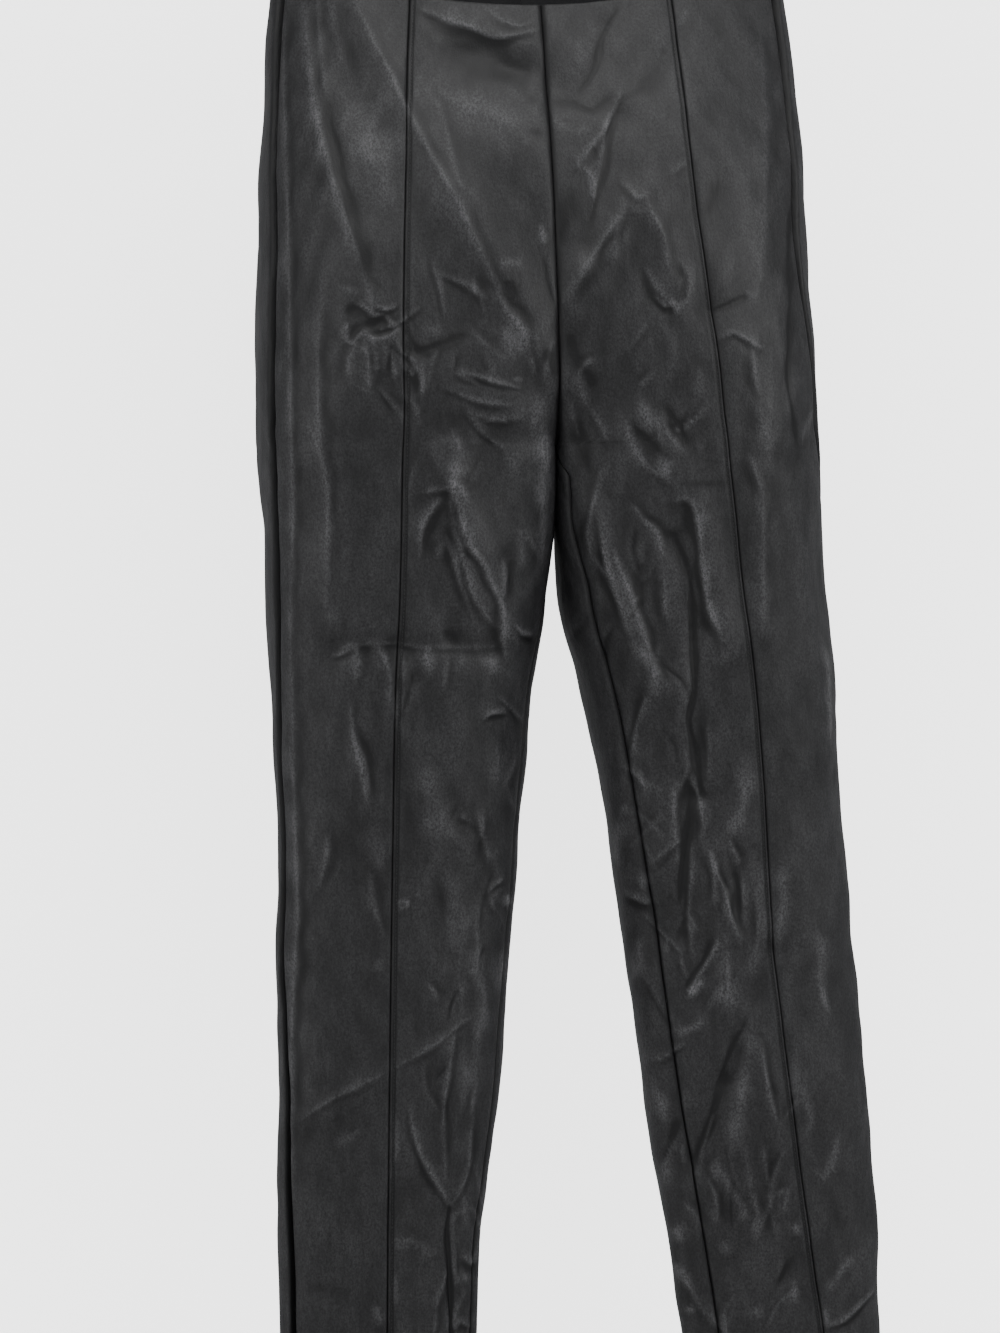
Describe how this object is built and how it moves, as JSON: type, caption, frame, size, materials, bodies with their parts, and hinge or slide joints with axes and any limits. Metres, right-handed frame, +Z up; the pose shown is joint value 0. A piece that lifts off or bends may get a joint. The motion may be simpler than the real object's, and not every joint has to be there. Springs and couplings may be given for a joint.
{
  "type": "faux leather skinny trousers",
  "caption": "Black faux leather skinny trousers, filled out and hollow, with a seam down the front of each leg, open at waist and hems.",
  "frame": {"origin": "middle of the waist opening, at the height of the waist's side edges, where the garment is held", "axes": "+Z up along the garment, -Y out of its front, +X towards the wearer's left leg"},
  "size_m": [0.3915, 0.1568, 1.0235],
  "materials": {
    "faux_leather": "black coated knit, soft sheen, faint mottled grain"
  },
  "bodies": {
    "root": {"front_centre_right": "faux_leather", "front_side_right": "faux_leather", "back_right": "faux_leather", "front_centre_left": "faux_leather", "front_side_left": "faux_leather", "back_left": "faux_leather"}
  },
  "joints": []
}
